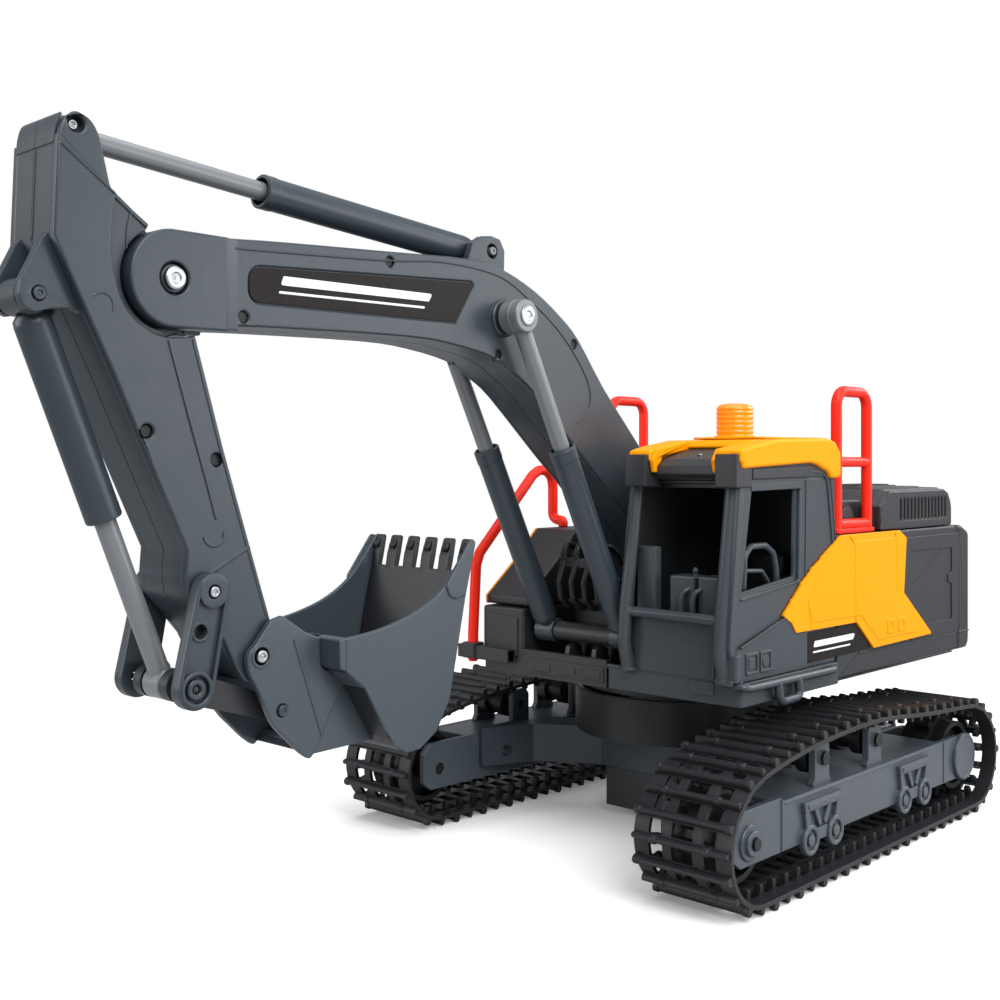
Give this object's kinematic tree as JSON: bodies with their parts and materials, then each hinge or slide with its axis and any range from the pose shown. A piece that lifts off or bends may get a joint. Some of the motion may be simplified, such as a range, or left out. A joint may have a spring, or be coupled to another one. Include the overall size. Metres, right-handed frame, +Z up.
{
  "type": "toy excavator",
  "caption": "Tracked toy excavator with a slewing house, cab, articulated boom, arm and toothed bucket driven through cylinder linkages.",
  "frame": {"origin": "on the ground under the middle of the overall length and width, 123.9 mm in front of the slew axis", "axes": "+X forward the way the boom points, +Y towards the cab side, +Z up"},
  "size_m": [0.6012, 0.27, 0.3451],
  "materials": {
    "grey_plastic": "fine grain moulded blue-grey plastic",
    "dark_plastic": "fine grain moulded charcoal plastic",
    "yellow_plastic": "smooth moulded yellow-orange plastic",
    "red_plastic": "smooth moulded red-orange plastic",
    "rod_plastic": "silver-grey moulded rod",
    "belt_rubber": "moulded dark grey rubber",
    "steel": "bright zinc plated steel",
    "amber_lens": "clear amber lens",
    "gear_plastic": "natural white nylon",
    "board": "printed circuit board",
    "cell": "wrapped battery cell",
    "motor_case": "motor and gearbox casing"
  },
  "bodies": {
    "undercarriage": {"chassis_frame": "grey_plastic", "battery_cover": "grey_plastic", "battery_cells": "cell", "chassis_screws": "steel", "left_track_frame": "grey_plastic", "right_track_frame": "grey_plastic", "left_track_belt": "belt_rubber", "right_track_belt": "belt_rubber", "track_axles": "steel", "drive_motors": "motor_case", "slew_ring_gear": "gear_plastic"},
    "left_sprocket": {"left_sprocket": "grey_plastic"},
    "right_sprocket": {"right_sprocket": "grey_plastic"},
    "left_idler": {"left_idler": "grey_plastic"},
    "right_idler": {"right_idler": "grey_plastic"},
    "left_front_roller": {"left_front_roller": "grey_plastic"},
    "left_rear_roller": {"left_rear_roller": "grey_plastic"},
    "right_front_roller": {"right_front_roller": "grey_plastic"},
    "right_rear_roller": {"right_rear_roller": "grey_plastic"},
    "power_switch": {"power_switch_knob": "grey_plastic"},
    "house": {"deck_plate": "dark_plastic", "house_pins": "dark_plastic", "rear_body_shell": "dark_plastic", "counterweight": "dark_plastic", "engine_hood": "dark_plastic", "left_side_panel": "yellow_plastic", "right_side_panel": "yellow_plastic", "right_front_box": "dark_plastic", "cab_shell": "grey_plastic", "cab_roof": "yellow_plastic", "cab_interior": "dark_plastic", "beacon_lens": "amber_lens", "rear_handrails": "red_plastic", "front_handrail": "red_plastic", "boarding_step": "grey_plastic", "hose_bundle": "dark_plastic", "house_motors": "motor_case", "circuit_board": "board"},
    "slew_pinion": {"slew_pinion": "gear_plastic"},
    "boom": {"boom_left_shell": "grey_plastic", "boom_right_shell": "grey_plastic", "boom_screws": "steel", "boom_pins": "steel", "arm_motor": "motor_case"},
    "boom_barrels": {"boom_cylinder_barrels": "grey_plastic"},
    "boom_rods": {"boom_cylinder_rods": "rod_plastic"},
    "arm_barrel": {"arm_cylinder_barrel": "grey_plastic"},
    "arm": {"arm_left_shell": "grey_plastic", "arm_right_shell": "grey_plastic", "arm_screws": "steel", "arm_pins": "steel", "bucket_motor": "motor_case"},
    "arm_rod": {"arm_cylinder_rod": "rod_plastic"},
    "bucket_barrel": {"bucket_cylinder_barrel": "grey_plastic"},
    "bucket_rod": {"bucket_cylinder_rod": "rod_plastic"},
    "rocker": {"rocker_links": "grey_plastic", "rocker_pin": "steel"},
    "push_link": {"push_link": "grey_plastic"},
    "bucket": {"bucket": "grey_plastic", "bucket_link_pin": "steel"}
  },
  "joints": [
    {"name": "slew", "type": "hinge", "parent": "undercarriage", "child": "house", "pos_m": [-0.1239, 0, 0.088], "axis": [0, 0, 1], "continuous": true},
    {"name": "slew_pinion_spin", "type": "hinge", "parent": "house", "child": "slew_pinion", "pos_m": [-0.17205, 0, 0.061], "axis": [0, 0, 1], "continuous": true},
    {"name": "boom_lift", "type": "hinge", "parent": "house", "child": "boom", "pos_m": [-0.1009, 0, 0.152], "axis": [0, -1, 0], "range_deg": [-15, 8]},
    {"name": "boom_barrel_swing", "type": "hinge", "parent": "house", "child": "boom_barrels", "pos_m": [-0.0355, 0, 0.117], "axis": [0, -1, 0], "range_deg": [-15.35, 8.21]},
    {"name": "boom_rod_swing", "type": "hinge", "parent": "boom", "child": "boom_rods", "pos_m": [0.0506, 0, 0.285], "axis": [0, -1, 0], "range_deg": [-0.35, 0.21]},
    {"name": "arm_swing", "type": "hinge", "parent": "boom", "child": "arm", "pos_m": [0.2409, 0, 0.2847], "axis": [0, -1, 0], "range_deg": [-8, 40]},
    {"name": "arm_barrel_swing", "type": "hinge", "parent": "boom", "child": "arm_barrel", "pos_m": [0.0538, 0, 0.3188], "axis": [0, -1, 0], "range_deg": [-1.17, 5.67]},
    {"name": "arm_rod_swing", "type": "hinge", "parent": "arm", "child": "arm_rod", "pos_m": [0.2805, 0, 0.338], "axis": [0, -1, 0], "range_deg": [-34.43, 6.93]},
    {"name": "bucket_curl", "type": "hinge", "parent": "arm", "child": "bucket", "pos_m": [0.2014, 0, 0.133], "axis": [0, -1, 0], "range_deg": [-5, 50]},
    {"name": "rocker_swing", "type": "hinge", "parent": "arm", "child": "rocker", "pos_m": [0.2256, 0, 0.1615], "axis": [0, -1, 0], "range_deg": [-3, 29.55]},
    {"name": "push_link_swing", "type": "hinge", "parent": "bucket", "child": "push_link", "pos_m": [0.1906, 0, 0.1091], "axis": [0, -1, 0], "range_deg": [-36.77, 3.72]},
    {"name": "bucket_barrel_swing", "type": "hinge", "parent": "arm", "child": "bucket_barrel", "pos_m": [0.2928, 0, 0.2745], "axis": [0, -1, 0], "range_deg": [-0.57, 5.28]},
    {"name": "bucket_rod_swing", "type": "hinge", "parent": "rocker", "child": "bucket_rod", "pos_m": [0.2337, 0, 0.1237], "axis": [0, -1, 0], "range_deg": [-24.32, 2.48]},
    {"name": "left_drive", "type": "hinge", "parent": "undercarriage", "child": "left_sprocket", "pos_m": [-0.2449, 0.1075, 0.033], "axis": [0, 1, 0], "continuous": true},
    {"name": "left_idler_spin", "type": "hinge", "parent": "undercarriage", "child": "left_idler", "pos_m": [-0.0029, 0.1075, 0.033], "axis": [0, 1, 0], "continuous": true},
    {"name": "left_front_roller_spin", "type": "hinge", "parent": "undercarriage", "child": "left_front_roller", "pos_m": [-0.0779, 0.1075, 0.06], "axis": [0, 1, 0], "continuous": true},
    {"name": "left_rear_roller_spin", "type": "hinge", "parent": "undercarriage", "child": "left_rear_roller", "pos_m": [-0.1359, 0.1075, 0.06], "axis": [0, 1, 0], "continuous": true},
    {"name": "right_drive", "type": "hinge", "parent": "undercarriage", "child": "right_sprocket", "pos_m": [-0.2449, -0.1075, 0.033], "axis": [0, 1, 0], "continuous": true},
    {"name": "right_idler_spin", "type": "hinge", "parent": "undercarriage", "child": "right_idler", "pos_m": [-0.0029, -0.1075, 0.033], "axis": [0, 1, 0], "continuous": true},
    {"name": "right_front_roller_spin", "type": "hinge", "parent": "undercarriage", "child": "right_front_roller", "pos_m": [-0.0779, -0.1075, 0.06], "axis": [0, 1, 0], "continuous": true},
    {"name": "right_rear_roller_spin", "type": "hinge", "parent": "undercarriage", "child": "right_rear_roller", "pos_m": [-0.1359, -0.1075, 0.06], "axis": [0, 1, 0], "continuous": true},
    {"name": "power_switch_slide", "type": "slide", "parent": "undercarriage", "child": "power_switch", "axis": [0, 1, 0], "range_m": [0, 0.0044]}
  ],
  "couplings": [
    {"joint": "slew_pinion_spin", "follows": "slew", "ratio": 4},
    {"joint": "boom_barrel_swing", "follows": "boom_lift", "ratio": 1.02},
    {"joint": "boom_rod_swing", "follows": "boom_lift", "ratio": 0.02},
    {"joint": "arm_barrel_swing", "follows": "arm_swing", "ratio": 0.1405},
    {"joint": "arm_rod_swing", "follows": "arm_swing", "ratio": -0.8595},
    {"joint": "rocker_swing", "follows": "bucket_curl", "ratio": 0.59},
    {"joint": "push_link_swing", "follows": "bucket_curl", "ratio": -0.7345},
    {"joint": "bucket_barrel_swing", "follows": "bucket_curl", "ratio": 0.1045},
    {"joint": "bucket_rod_swing", "follows": "bucket_curl", "ratio": -0.4855},
    {"joint": "left_idler_spin", "follows": "left_drive", "ratio": 1},
    {"joint": "left_front_roller_spin", "follows": "left_drive", "ratio": 2.9778},
    {"joint": "left_rear_roller_spin", "follows": "left_drive", "ratio": 2.9778},
    {"joint": "right_idler_spin", "follows": "right_drive", "ratio": 1},
    {"joint": "right_front_roller_spin", "follows": "right_drive", "ratio": 2.9778},
    {"joint": "right_rear_roller_spin", "follows": "right_drive", "ratio": 2.9778}
  ]
}
